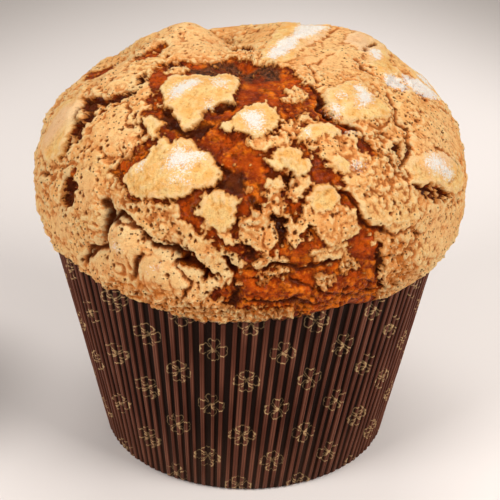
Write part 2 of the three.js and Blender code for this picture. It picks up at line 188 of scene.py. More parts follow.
# Thinner, spongy fields and flakes of glaze.
FIELDS = {
    "above the front": [(4, 25), (7, 26), (8, 26), (9, 25), (9, 24), (7, 23), (8, 21), (9, 19),
        (9, 18), (7, 17), (5, 17), (3, 18), (3, 20), (2, 21), (2, 22), (0, 23), (-1, 23), (1, 24),
        (3, 24)],
    "below the middle": [(12, 26), (15, 26), (16, 26), (17, 24), (15, 23), (14, 22), (13, 21),
        (11, 21), (10, 22), (11, 24)],
    "front right": [(14, 19), (16, 22), (24, 20), (24, 18), (26, 16), (27, 15), (28, 12), (27, 11),
        (25, 11), (24, 10), (23, 9), (22, 8), (21, 8), (19, 8), (19, 10), (17, 12), (16, 14), (14, 15),
        (14, 17)],
    "shelf": [(14, 8), (17, 8), (19, 8), (21, 8), (24, 8), (24, 6), (22, 5), (20, 4), (18, 5), (16, 6),
        (15, 7)],
    "lace": [(9, 17), (10, 17), (11, 15), (13, 16), (14, 15), (14, 13), (15, 11), (13, 11), (12, 10),
        (11, 9), (10, 10), (10, 12), (9, 14), (10, 15), (9, 16)],
    "front left": [(-11, 16), (-4, 18), (-4, 15), (-4, 13), (-3, 11), (-4, 10), (-6, 11), (-7, 12),
        (-9, 14), (-11, 14)],
    "sponge": [(-4, 15), (-2, 16), (0, 17), (0, 19), (1, 19), (2, 18), (4, 17), (5, 16), (6, 15),
        (6, 13), (6, 11), (5, 9), (4, 8), (2, 9), (1, 9), (0, 10), (-2, 11), (-3, 12), (-2, 13)],
    "upper": [(15, 50), (19, 55), (27, 57), (29, 55), (29, 51), (24, 49), (19, 49)],
    "upper right": [(18, 42), (19, 44), (24, 44), (26, 42), (24, 40), (21, 41)],
    "crumbs": [(4, 37), (7, 38), (10, 39), (12, 41), (15, 42), (18, 41), (17, 38), (13, 36), (11, 34),
        (8, 35), (6, 33), (3, 33), (0, 34), (-1, 36)],
    "bridge": [(22, 32), (26, 31), (28, 30), (26, 30), (23, 29), (22, 30), (20, 31)],
    "ledge": [(-12, 9), (-10, 11), (-8, 9), (-6, 9), (-4, 8), (-2, 7), (-1, 6), (-2, 4), (-4, 5),
        (-5, 6), (-7, 7)],
    "strip one": [(1, 5), (3, 7), (5, 7), (6, 6), (6, 5), (4, 5), (2, 4)],
    "strip two": [(6, 6), (8, 7), (9, 5), (8, 5), (7, 5)],
    "strip three": [(3, 3), (5, 3), (8, 4), (10, 4), (11, 5), (10, 3), (7, 2), (4, 2)],
    "flake one": [(14, 0), (16, 1), (19, 1), (21, 0), (19, -1), (18, -2), (16, -2)],
    "flake two": [(23, 4), (25, 4), (27, 2), (25, 1), (24, 0), (23, 2)],
    "flake three": [(3, 1), (5, 2), (4, 0)],
    "lip": [(-7, -7), (-3, -8), (0, -9), (3, -8), (6, -8), (10, -8), (11, -11), (7, -11), (3, -13),
        (-1, -14), (-5, -13), (-7, -12)],
    "crumpled": [(33, 10), (36, 8), (39, 6), (41, 3), (42, -1), (45, -5), (43, -7), (41, -9), (36, -8),
        (38, -5), (36, -1), (34, 2), (34, 5), (32, 8)],
    "top edge": [(-63, 56), (-64, 59), (-57, 62), (-51, 61), (-51, 58), (-56, 55)],
}

# Fields that were baked to a golden orange.
GOLDEN = ["strip three", "flake one", "flake two", "flake three", "lip", "crumpled"]

# Bare crust, where the glaze has burst or run off.
BARE = {
    "middle": [(-74, 56), (-74, 62), (-60, 67), (-52, 73), (-47, 80), (-12, 80), (12, 73), (31, 70),
        (41, 69), (36, 63), (32, 57), (35, 55), (34, 50), (30, 45), (31, 41), (34, 38), (37, 36),
        (32, 36), (29, 38), (25, 39), (21, 39), (17, 37), (15, 35), (18, 35), (21, 34), (22, 32),
        (20, 30), (22, 29), (23, 27), (25, 25), (26, 23), (24, 22), (26, 21), (27, 19), (27, 17),
        (28, 15), (29, 13), (31, 11), (33, 11), (32, 8), (33, 5), (34, 2), (34, -2), (35, -6),
        (35, -9), (36, -13), (24, -12), (13, -12), (3, -14), (-5, -14), (-6, -7), (-7, -5), (-9, -3),
        (-8, -2), (-6, -1), (-4, 1), (-3, 4), (-5, 6), (-7, 8), (-9, 10), (-11, 11), (-12, 12),
        (-14, 14), (-16, 15), (-17, 17), (-17, 19), (-18, 19), (-22, 18), (-26, 18), (-31, 17),
        (-33, 20), (-36, 21), (-41, 22), (-39, 24), (-37, 26), (-37, 28), (-35, 31), (-33, 33),
        (-34, 34), (-38, 35), (-42, 36), (-43, 39), (-42, 42), (-47, 43), (-49, 47), (-57, 49),
        (-67, 53)],
    "left crack": [(-74, 33), (-70, 35), (-64, 38), (-61, 41), (-60, 43), (-55, 44), (-56, 42),
        (-57, 41), (-58, 37), (-62, 35), (-61, 33), (-58, 32), (-59, 30), (-63, 30), (-67, 32)],
    "left hole": [(-65, 29), (-61, 29), (-59, 27), (-57, 25), (-59, 23), (-59, 20), (-61, 18),
        (-62, 22), (-63, 26)],
    "top hole": [(-61, 46), (-69, 49), (-69, 51), (-61, 50), (-58, 48)],
    "left shade": [(-55, 15), (-51, 17), (-50, 14), (-50, 11), (-53, 9), (-55, 11)],
    "under far right": [(46, 18), (51, 16), (55, 14), (60, 11), (61, 10), (56, 11), (52, 12), (49, 14),
        (48, 16)],
    "right gap": [(37, 33), (39, 31), (39, 29), (40, 27), (37, 27), (36, 29), (35, 31)],
    "right nick": [(48, 29), (51, 29), (49, 26), (46, 25), (45, 27)],
    "lower gap": [(-16, 6), (-13, 6), (-11, 5), (-9, 2), (-11, 1), (-13, 4), (-15, 4)],
    "top notch": [(-125, 78), (-150, 75), (-170, 73), (179, 81), (74, 89), (-123, 87), (-87, 83)],
    "crumpled hole": [(36, 0), (39, -1), (41, -4), (40, -5), (37, -5)],
}

# Lobes and crests where the glaze is smoother and paler: longitude, elevation, half
# length and half width in millimetres, turn in degrees.
PALE = [
    (-31, 8, 7.8, 6.5, 48), (-22, 3, 7.6, 6.1, 40), (-16, 0, 8.3, 3.7, 86), (-38, -2, 9.1, 5.5, 44),
    (-46, 16, 8.9, 4.9, -66), (-55, 3, 12.1, 5.8, 30), (55, 2, 16.8, 9.1, -50), (70, 23, 24.4, 9.4, 4),
    (95, 60, 27.1, 13.1, -26), (-117, 65, 22.8, 13.2, 46), (-80, 43, 21.8, 7.2, 19),
    (-45, 32, 10.9, 6.9, -15), (-9, -4, 7.1, 4, 84), (-73, 24, 13, 8, 80),
]

# Names of the bare places that are deep, with painted shade in them.
SUNKEN = [
    "left crack", "left hole", "left shade", "top hole", "top notch", "lower gap",
    "crumpled hole", "right nick",
]

# Sugar that melted white on the glaze.
SUGARED = {
    "upper left": [(-38, 47), (-39, 49), (-39, 53), (-36, 56), (-32, 57), (-28, 56), (-29, 53),
        (-32, 49), (-34, 46)],
    "upper left end": [(-28, 59), (-20, 61), (-13, 58), (-13, 54), (-20, 54)],
    "upper left foot": [(-22, 49), (-17, 50), (-15, 46), (-18, 45), (-21, 47)],
    "wide left": [(-23, 30), (-23, 32), (-20, 32), (-18, 32), (-14, 32), (-14, 30), (-16, 29),
        (-17, 27), (-20, 27), (-23, 26), (-24, 27)],
    "wide left foot": [(-22, 25), (-20, 26), (-16, 25), (-15, 24), (-18, 23), (-21, 23)],
    "wide left edge": [(-33, 27), (-31, 28), (-29, 26), (-30, 24), (-32, 24)],
    "middle": [(-4, 45), (-1, 46), (3, 46), (5, 45), (5, 42), (4, 39), (1, 39), (-1, 40), (-3, 42)],
    "right": [(52, 49), (57, 48), (55, 46), (56, 43), (50, 41), (45, 41), (42, 42), (45, 44), (50, 46)],
    "right foot": [(31, 43), (35, 45), (37, 44), (36, 42), (33, 41)],
    "right edge": [(37, 48), (43, 49), (44, 46), (40, 45), (36, 46)],
    "far right": [(53, 22), (58, 22), (61, 20), (63, 17), (64, 15), (61, 14), (58, 16), (57, 18),
        (53, 20)],
    "top": [(27, 78), (73, 83), (121, 78), (126, 72), (153, 51), (145, 51), (131, 55), (116, 65),
        (111, 71), (84, 74), (51, 75), (32, 75)],
    "streak": [(79, 44), (82, 42), (80, 38), (75, 38), (73, 41), (74, 43)],
    "far streak": [(88, 39), (90, 36), (92, 31), (90, 28), (84, 31), (82, 35), (82, 38)],
    "top right": [(99, 49), (103, 46), (97, 46), (91, 48)],
    "lobe": [(-33, 7), (-32, 8), (-30, 6), (-32, 5), (-34, 5)],
    "lower lobe": [(-25, 3), (-23, 4), (-21, 4), (-22, 2), (-24, 2)],
    "small right": [(18, 38), (21, 39), (21, 37), (19, 36), (17, 37)],
    "gap": [(32, 38), (36, 37), (36, 35), (32, 35), (30, 37)],
    "by the right": [(30, 28), (33, 28), (34, 26), (31, 25), (29, 26)],
}

# Names of the sugared places where it is only a dusting.
DUSTED = [
    "upper left end", "upper left foot", "wide left foot", "wide left edge", "right edge", "gap",
    "by the right", "small right", "lobe", "lower lobe",
]

# Names of the sugared places where it lies thickest.
THICKEST = ["streak", "far streak", "top right"]

# Sunken places in the bare crust, painted dark: partly burnt crust, partly painted shade in the hollows.
SHADES = {
    "upper left foot": [(-38, 43), (-31, 42), (-25, 39), (-21, 37), (-17, 41), (-14, 41), (-16, 36),
        (-19, 35), (-25, 36), (-29, 37), (-34, 39)],
    "behind wide left": [(-11, 23), (-8, 26), (-10, 29), (-8, 29), (-3, 28), (-1, 26), (-2, 22),
        (-5, 22), (-8, 23), (-11, 21)],
    "under upper left": [(-15, 47), (-10, 49), (-6, 49), (-7, 47), (-11, 45), (-15, 45)],
    "column": [(5, 17), (8, 17), (10, 15), (9, 12), (8, 10), (6, 12), (6, 15)],
    "over sponge": [(0, 22), (3, 20), (3, 18), (2, 19), (-1, 21)],
    "front fold": [(-2, 10), (1, 9), (2, 7), (1, 6), (-1, 7)],
    "front left seam": [(-4, 1), (-2, 0), (-2, -4), (-4, -8), (-6, -8), (-4, -3)],
    "right of the front": [(16, 18), (15, 15), (15, 12), (14, 13), (13, 16)],
    "by islet": [(3, 27), (7, 27), (13, 27), (13, 25), (10, 24), (9, 26), (5, 26)],
    "right column": [(32, 8), (34, 2), (37, -5), (36, -8), (33, -4), (32, 2)],
    "top": [(-76, 57), (-70, 63), (-62, 61), (-66, 57)],
    "left crack": [(-71, 34), (-66, 35), (-61, 34), (-59, 31), (-62, 29), (-67, 31)],
    "left hole": [(-65, 29), (-61, 29), (-58, 26), (-57, 23), (-60, 20), (-62, 24)],
    "right": [(34, 50), (30, 46), (30, 41), (34, 38), (37, 36), (33, 39), (31, 43)],
    "far right": [(48, 18), (54, 14), (60, 11), (60, 10), (53, 12), (48, 15)],
    "top hollow": [(-23, 71), (-8, 75), (-7, 69), (-15, 65)],
}

# Ashen places at the crust's top.
ASHEN = {
    "top": [(-58, 62), (-54, 66), (-55, 74), (-39, 79), (-11, 75), (-10, 67), (-25, 66), (-30, 61),
        (-41, 60), (-50, 60)],
    "top right": [(-6, 72), (13, 74), (33, 70), (22, 62), (12, 62), (-1, 61), (-9, 65)],
}

# The camera, fitted to the photograph: place and aim in its own terms.
CAMERA_PLACE = (0.0, -600.3, 392.1)
CAMERA_TILT = 27.07
CAMERA_YAW = 0.14
CAMERA_ROLL = 0.71
CAMERA_LENS = 108.0

# The lamps: place and size in metres, power in watts, and tint. They all aim at one point.
LAMPS = {
    "window_right": ((0.95, -0.6, 0.9), (0.7, 0.7), 17.5, (1, 0.98, 0.95)),
    "window_left": ((-1.0, -0.75, 0.8), (0.7, 0.7), 16, (1, 0.98, 0.96)),
    "overhead": ((0.0, 0.4, 1.3), (0.8, 0.6), 7.5, (1, 0.98, 0.96)),
}
LAMP_AIM = (0, 0, 0.09)
ROOM_TINT = (1.0, 0.965, 0.94, 1)
ROOM_STRENGTH = 0.27

# Odd numbers that stir the bits of a whole-numbered place, and the width of a word of bits.
STIR = (374761393, 668265263, 2147483647, 1274126177, 2246822519)
WORD = 0xFFFFFFFF

# More than any distance, and next to nothing, which keeps a division from failing.
FAR = 99.0
TINY = 1e-9


# Arithmetic on arrays of points

def smooth(low, high, value):
    t = np.clip((value - low) / (high - low), 0, 1)
    return t * t * (3 - 2 * t)


def scatter_value(i, j, k, seed):
    """One repeatable number from 0 to 1 for each whole-numbered place."""
    h = i * STIR[0] + j * STIR[1] + k * STIR[2] + seed * STIR[3]
    for shift, factor in ((13, STIR[3]), (16, STIR[4])):
        h = (h ^ (h >> shift)) & WORD
        h = (h * factor) & WORD
    return (h ^ (h >> 15)) / (WORD + 1)


def noise(points, size, seed):
    """Smooth noise from -1 to 1, with lumps of about the given size."""
    p = points / size
    cell = np.floor(p).astype(np.int64)
    t = p - cell
    t = t * t * (3 - 2 * t)
    x, y, z = cell.T
    sides = [(1 - share, share) for share in t.T]
    total = 0
    for a, b, c in np.ndindex(2, 2, 2):
        weight = sides[0][a] * sides[1][b] * sides[2][c]
        total = total + weight * scatter_value(x + a, y + b, z + c, seed)
    return 2 * total - 1


def layered(points, size, seed, layers=3, fade=0.55, finer=2, step=17, form=np.positive):
    """Noise with finer noise upon it, each layer put through the form."""
    total, strength, whole = 0, 1.0, 0.0
    for layer in range(layers):
        total = total + strength * form(noise(points, size / finer ** layer, seed + step * layer))
        whole += strength
        strength *= fade
    return total / whole


def bumps(points, size, seed, layers=3, fade=0.65):
    """Rounded bumps with sharp creases between them, from 0 in the creases to about 1."""
    return np.clip(1.8 * layered(points, size, seed, layers, fade, 1.9, 13, np.abs), 0, 1)


def nearest_pips(points, size, seed):
    """Distance to the nearest of many scattered pips, in pip spacings, and that pip's own number."""
    p = points / size
    x, y, z = np.floor(p).astype(np.int64).T
    best = np.full(len(p), FAR)
    number = np.zeros(len(p))
    for a, b, c in np.ndindex(3, 3, 3):
        cell = (x + a - 1, y + b - 1, z + c - 1)
        pip = [side + scatter_value(*cell, seed + axis) for axis, side in enumerate(cell)]
        distance = np.linalg.norm(np.stack(pip, axis=1) - p, axis=1)
        closer = distance < best
        best = np.where(closer, distance, best)
        number = np.where(closer, scatter_value(*cell, seed + 3), number)
    return best, number


def direction(lon, el):
    lon, el = np.radians(lon), np.radians(el)
    return np.stack([np.sin(lon) * np.cos(el), -np.cos(lon) * np.cos(el), np.sin(el) + 0 * lon], axis=-1)


def plain_reach(el):
    """Distance from the crown's centre to the plain crown at an elevation in degrees."""
    across = np.cos(np.radians(el)) / CROWN_RADIUS
    up = np.abs(np.sin(np.radians(el)))
    above = across ** CROWN_FULLNESS + (up / CROWN_RISE) ** CROWN_FULLNESS
    below = 1 / np.hypot(across, up / CROWN_TUCK)
    return np.where(np.asarray(el) < 0, below, above ** (-1 / CROWN_FULLNESS))


def oval(rays, place):
    """How far each ray lies from a feature's middle, 1 being its outline."""
    lon, el, long, wide, turn = place[:5]
    middle = direction(lon, el)
    east = direction(lon + 90, 0)
    north = np.cross(east, middle)
    if north[2] < 0:
        north = -north
    c, s = math.cos(math.radians(turn)), math.sin(math.radians(turn))
    reach = plain_reach(el)
    along = reach * (rays @ (c * east + s * north)) / long
    across = reach * (rays @ (c * north - s * east)) / wide
    return np.where(rays @ middle > 0.2, np.hypot(along, across), FAR)


def line_distance(rays, corners):
    """Distance in millimetres from each ray to a broken line on the crown."""
    ends = [direction(lon, el) for lon, el in corners]
    nearest = np.full(len(rays), FAR)
    for start, end in zip(ends, ends[1:]):
        run = end - start
        t = np.clip((rays - start) @ run / (run @ run), 0, 1)
        nearest = np.minimum(nearest, np.linalg.norm(rays - start - t[:, None] * run, axis=1))
    return nearest * CROWN_RADIUS


def case_radius(z):
    return CASE_BASE_RADIUS + (CASE_RIM_RADIUS - CASE_BASE_RADIUS) * z / CASE_HEIGHT


def inner_case_radius(z):
    return case_radius(z) - PLEAT_DEPTH - PAPER - FIT


def lip_height(lon):
    lon = (np.asarray(lon) + 180) % 360 - 180
    level = np.zeros_like(lon, dtype=float)
    for (start, low), (end, high) in zip(LIP_HEIGHTS, LIP_HEIGHTS[1:]):
        here = (lon >= start) & (lon <= end)
        level = np.where(here, low + (high - low) * smooth(start, end, lon), level)
    ring = direction(lon, 0) * CROWN_RADIUS
    jagged = 0.5 + 2 * smooth(-22, -12, lon) * smooth(24, 12, lon)
    jagged = jagged * layered(ring, 3.4, 33, fade=0.8)
    return level + LIP_SCALLOP * (noise(ring, 9, 31) + 0.5 * noise(ring, 4, 32)) + jagged


def elevation_at(z):
    drop = (CROWN_LEVEL - z) / CROWN_TUCK
    return -np.degrees(np.arctan2(CROWN_LEVEL - z, CROWN_RADIUS * np.sqrt(1 - drop * drop)))


# The crust's relief

def hidden_plates():
    """Plates, fields, bare patches and cracks for the side that the photograph doesn't show."""
    plates, fields, bare, cracks = [], [], [], []
    for row, el in enumerate(HIDDEN_ROWS):
        pitch = math.degrees(HIDDEN_SPACING / (CROWN_RADIUS * math.cos(math.radians(el))))
        for i in range(int(180 / pitch)):
            draw = [float(scatter_value(i, row, n, 5)) for n in range(8)]
            lon = HIDDEN_START + (i + 0.5 * (row % 2) + 0.5) * pitch + 5 * (draw[0] - 0.5)
            level = el + 5 * (draw[1] - 0.5)
            place = (lon, level, 9 + 5 * draw[2], 6.5 + 3 * draw[3], 60 * (draw[4] - 0.5))
            in_sight = lon > 195 and el > 20
            (fields if i % 2 or in_sight else plates).append(place)
            if i % 2:
                bare.append((lon + pitch / 2, level + 4 * draw[5], 5 + 8 * draw[6], 11, 90))
            if draw[7] < 0.4:
                side = lon + pitch / 2
                line = [(side - 3, level + 9), (side + 2, level), (side - 1, level - 8)]
                cracks.append((2.2, 3, line))
    return plates, fields, bare, cracks


def inside_ovals(rays, places):
    """Depth inside the nearest of some ovals, in millimetres, and below 0 outside them all."""
    deepest = np.full(len(rays), -FAR)
    for place in places:
        deepest = np.maximum(deepest, min(place[2], place[3]) * (1 - oval(rays, place)))
    return deepest


def chart(rays, middle):
    """Rays laid out flat round a middle one, in millimetres, true in distance from it."""
    east = np.cross([0, 0, 1], middle)
    east = east / np.linalg.norm(east)
    flat = np.stack([rays @ east, rays @ np.cross(middle, east)], axis=1)
    turn = np.arccos(np.clip(rays @ middle, -1, 1))
    return flat * (CROWN_RADIUS * turn / np.maximum(np.linalg.norm(flat, axis=1), TINY))[:, None]


def inside(rays, outlines, names=None, reach=6):
    """Depth inside the nearest of the named outlines, in millimetres, down to -reach outside all."""
    deepest = np.full(len(rays), -float(reach))
    for name in names or outlines:
        corners = np.array([direction(lon, el) for lon, el in outlines[name]])
        middle = corners.mean(axis=0)
        middle = middle / np.linalg.norm(middle)
        widest = np.arccos((corners @ middle).min()) + reach / CROWN_RADIUS
        near = np.nonzero(rays @ middle > math.cos(min(widest, 3)))[0]
        places = chart(rays[near], middle)
        ends = chart(corners, middle)
        distance = np.full(len(near), FAR)
        within = np.zeros(len(near), bool)
        for start, end in zip(ends, np.roll(ends, -1, axis=0)):
            run = end - start
            off = places - start
            share = np.clip(off @ run / (run @ run), 0, 1)
            to_side = np.hypot(off[:, 0] - share * run[0], off[:, 1] - share * run[1])
            distance = np.minimum(distance, to_side)
            if run[1] != 0:
                spans = (start[1] > places[:, 1]) != (end[1] > places[:, 1])
                within ^= spans & (off[:, 0] < run[0] * off[:, 1] / run[1])
        deepest[near] = np.maximum(deepest[near], np.where(within, distance, -distance))
    return deepest


def wandered(rays, size, reach, seed, layers=3, fade=0.9):
    """The same rays, each led astray by a few millimetres, so that outlines turn ragged."""
    skin = rays * CROWN_RADIUS
    stray = np.stack([layered(skin, size, seed + 7 * axis, layers, fade) for axis in range(3)], axis=1)
    led = skin + reach * stray
    return led / np.linalg.norm(led, axis=1, keepdims=True)


def crust_fields(rays):
    """What the crust is like at each ray: heights in millimetres and masks from 0 to 1."""
    skin = rays * CROWN_RADIUS
    hidden, hidden_fields, hidden_bare, hidden_cracks = hidden_plates()
    plate_rays = wandered(rays, 3.0, 2.2, 101)
    glaze_rays = wandered(rays, 3.6, 2.8, 131)
    hidden_rays = wandered(rays, 11, 9, 161, layers=4, fade=0.7)
    nibbled = layered(skin, 2.0, 151, layers=2, fade=0.8)

    # Depth inside the glaze's outline: its plates, its spongy fields and its wide spread.
    plate = inside(plate_rays, PLATES)
    plate = np.maximum(plate, inside_ovals(hidden_rays, hidden)) + 0.9 * nibbled
    field = np.maximum(inside(glaze_rays, FIELDS), inside_ovals(hidden_rays, hidden_fields))
    burst = np.maximum(inside(glaze_rays, BARE, reach=9), inside_ovals(hidden_rays, hidden_bare))
    thin = smooth(0.45, 0.8, noise(skin, 7, 173) + 0.4 * noise(skin, 2.5, 174))
    field = field + 1.2 * nibbled + 0.7 - 2.6 * thin
    gap = smooth(0.6, 0.9, noise(skin, 6, 175) + 0.4 * noise(skin, 2.5, 176))
    spread = 1.5 * nibbled - burst - 5 * gap
    nearby = smooth(-7, -1, np.maximum(field, plate)) + smooth(7, 2, burst)
    crumbs = 7 * (layered(skin, 3.6, 177, fade=0.8) - 0.52 + 0.16 * nearby)
    glaze = np.maximum(np.maximum(plate, field), np.maximum(spread, np.minimum(crumbs, 1.2)))

    # Cracks, and a web of finer folds where the glaze isn't smooth.
    fold = np.zeros(len(rays))
    drop = np.zeros(len(rays))
    crack_rays = wandered(rays, 7, 3, 191, fade=0.75)
    opening = np.clip(0.85 + 0.6 * noise(skin, 9, 199), 0.25, 1.5)
    jagged = 0.6 * layered(skin, 2.2, 195, layers=2, fade=0.7)
    for width, depth, corners in list(CRACKS.values()) + hidden_cracks:
        apart = (line_distance(crack_rays, corners) + jagged) / (width * opening)
        groove = 0.3 * np.exp(-(apart / 1.4) ** 2) + 0.7 * np.exp(-(apart / 0.65) ** 2)
        drop = np.maximum(drop, 1.1 * depth * groove)
        fold = np.maximum(fold, np.exp(-(apart / 0.95) ** 2) * min(1, 0.4 + depth / 5))
    glaze = glaze - 3.5 * smooth(0.3, 0.8, fold) * (1 - smooth(1, 3, plate))
    smoothness = np.clip(inside_ovals(glaze_rays, PALE) / 6 + 0.5, 0, 1)
    web = smooth(0.09, 0.01, np.minimum(np.abs(layered(skin, 13, 203)), np.abs(layered(skin, 10, 205))))
    web = web * smooth(-0.3, 0.4, noise(skin, 16, 207)) * (1 - 0.7 * smooth(-1, 1, plate))
    web = web * (1 - 0.8 * smoothness)
    drop = np.maximum(drop, 0.9 * web)
    fold = np.maximum(fold, 0.45 * web)

    swell = np.zeros(len(rays))
    for place in SWELLINGS:
        swell += place[5] * np.exp(-oval(rays, place) ** 2)

    on_plate = smooth(-0.2, 0.5, plate)
    covered = smooth(-0.1, 0.5, glaze)
    thickness = covered * (1.4 + 0.8 * on_plate)
    # Sunken places, lowered here and painted dark with shade in the material.
    shade = np.maximum(inside(glaze_rays, SHADES), inside(glaze_rays, BARE, SUNKEN) + 0.5)
    shade = smooth(-1.5, 1.5, shade) * (1 - covered)

    lumps = 0.9 * noise(skin, 16, 11) + 0.7 * noise(skin, 8, 23) + 0.35 * noise(skin, 4, 24)
    crumb = bumps(skin, 2.6, 41, fade=0.8)
    knobs = bumps(skin, 9, 45, layers=2, fade=0.5)
    rolls = layered(skin * np.array([0.6, 0.6, 2.0]), 7, 51, layers=4, fade=0.7)
    distance, number = nearest_pips(skin, 3.0, 61)
    crowding = smooth(-0.25, 0.35, noise(skin, 14, 67))
    pit = smooth(0.36, 0.18, distance) * (number < 0.15 + 0.55 * crowding) * (1 - 0.85 * on_plate)

    height = swell + lumps - drop + thickness - 2.4 - 1.6 * shade
    craggy = np.clip(0.75 + 0.7 * noise(skin, 17, 47) + 0.3 * noise(skin, 7, 48), 0.3, 1.4)
    gold = smooth(-2, 0.5, inside(glaze_rays, FIELDS, GOLDEN))
    coarse = (1.7 - 0.8 * on_plate) * (crumb - 0.5) + (1.1 - 0.6 * on_plate) * (knobs - 0.6)
    height += covered * (1 - 0.55 * smoothness) * (craggy + 0.8 * gold) * coarse
    height += (1 - covered) * (1.3 * rolls + 0.35 * (bumps(skin, 2.6, 55, layers=2) - 0.4))
    height -= covered * 1.2 * pit
    near_lip = smooth(1, -6, np.degrees(np.arcsin(rays[:, 2])))
    in_front = smooth(0.6, 0.85, -rays[:, 1])
    height += near_lip * (1.4 + 1.2 * in_front) * (bumps(skin, 3.4, 58, fade=0.8) - 0.5)

    small = [(lon, el, 0.5 * long, 0.5 * wide, turn) for lon, el, long, wide, turn in hidden[::2]]
    heavy = [name for name in SUGARED if name not in DUSTED]
    sugar = np.maximum(inside(plate_rays, SUGARED, heavy), inside_ovals(hidden_rays, small))
    sugar = np.maximum(sugar, np.minimum(inside(plate_rays, SUGARED, DUSTED), 1.4) - 1.1)
    sugar = np.maximum(sugar, 1.5 * inside(plate_rays, SUGARED, THICKEST) + 1.6)
    return {
        "height": height,
        "glaze": np.clip(glaze / 3, -1, 1),
        "plate": on_plate,
        "fold": np.clip(fold, 0, 1),
        "sugar": np.clip(sugar / 4, -1, 1),
        "pit": pit * covered,
        "sponge": crowding,
        "pale": smoothness,
        "shade": shade,
        "gold": np.maximum(gold, near_lip * in_front),
        "ash": smooth(-2, 2, inside(glaze_rays, ASHEN)),
    }


# Small helpers for modelling

def deselect_all():
    bpy.ops.object.select_all(action="DESELECT")


def select_mesh(action="SELECT"):
    bpy.ops.mesh.select_all(action=action)


def active(name):
    piece = bpy.context.object
    piece.name = name
    piece.data.name = name
    return piece


def edit(piece):
    deselect_all()
    piece.select_set(True)
    bpy.context.view_layer.objects.active = piece
    bpy.ops.object.mode_set(mode="EDIT")


def leave_edit():
    bpy.ops.object.mode_set(mode="OBJECT")


def face_outward(piece):
    edit(piece)
    select_mesh()
    bpy.ops.mesh.normals_make_consistent(inside=False)
    leave_edit()


def read_all(items, name, width=1, kind=np.int64):
    """One property of all of a mesh's points, edges, corners or faces."""
    values = np.empty(width * len(items), dtype=kind)
    items.foreach_get(name, values)
    return values.reshape(-1, width) if width > 1 else values


def points_of(piece):
    return read_all(piece.data.vertices, "co", 3, np.float64)


def move_points(piece, points):
    piece.data.vertices.foreach_set("co", np.ascontiguousarray(points, dtype=np.float32).ravel())
    piece.data.update()


def paint(piece, name, values):
    layer = piece.data.attributes.new(name, "FLOAT", "POINT")
    layer.data.foreach_set("value", np.ascontiguousarray(values, dtype=np.float32))


def finish_piece(piece, material, node):
    piece.data.materials.append(material)
    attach(piece, "root")
    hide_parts(node)


def longitude(points):
    return np.degrees(np.arctan2(points[:, 0], -points[:, 1]))


def ring_points(lon, radius, z):
    points = direction(lon, 0)
    points[:, :2] *= np.reshape(radius, (-1, 1))
    points[:, 2] = z
    return points


# The loaf

def gathered(ball):
    """Points of a ball drawn towards its front, where the finer grid is wanted."""
    from_front = np.arccos(np.clip(-ball[:, 1], -1, 1))
    nearer = 2 * np.arctan(GATHERING * np.tan(np.minimum(from_front, BEHIND) / 2))
    side = np.hypot(ball[:, 0], ball[:, 2])
    scale = np.where(from_front < BEHIND, np.sin(nearer) / np.maximum(side, TINY), 1)
    drawn = ball.copy()
    drawn[:, 0] *= scale
    drawn[:, 2] *= scale
    drawn[:, 1] = np.where(from_front < BEHIND, -np.cos(nearer), ball[:, 1])
    return drawn


def sunken(piece, height, rounds):
    """How far each of a piece's first points lies below its surroundings, in millimetres."""
    ends = read_all(piece.data.edges, "vertices", 2)
    start, end = ends[(ends < len(height)).all(axis=1)].T
    count = np.bincount(start, minlength=len(height)) + np.bincount(end, minlength=len(height))
    mean = height.copy()
    for _ in range(rounds):
        total = np.bincount(start, mean[end], len(height)) + np.bincount(end, mean[start], len(height))
        mean = 0.4 * mean + 0.6 * total / np.maximum(count, 1)
    return mean - height


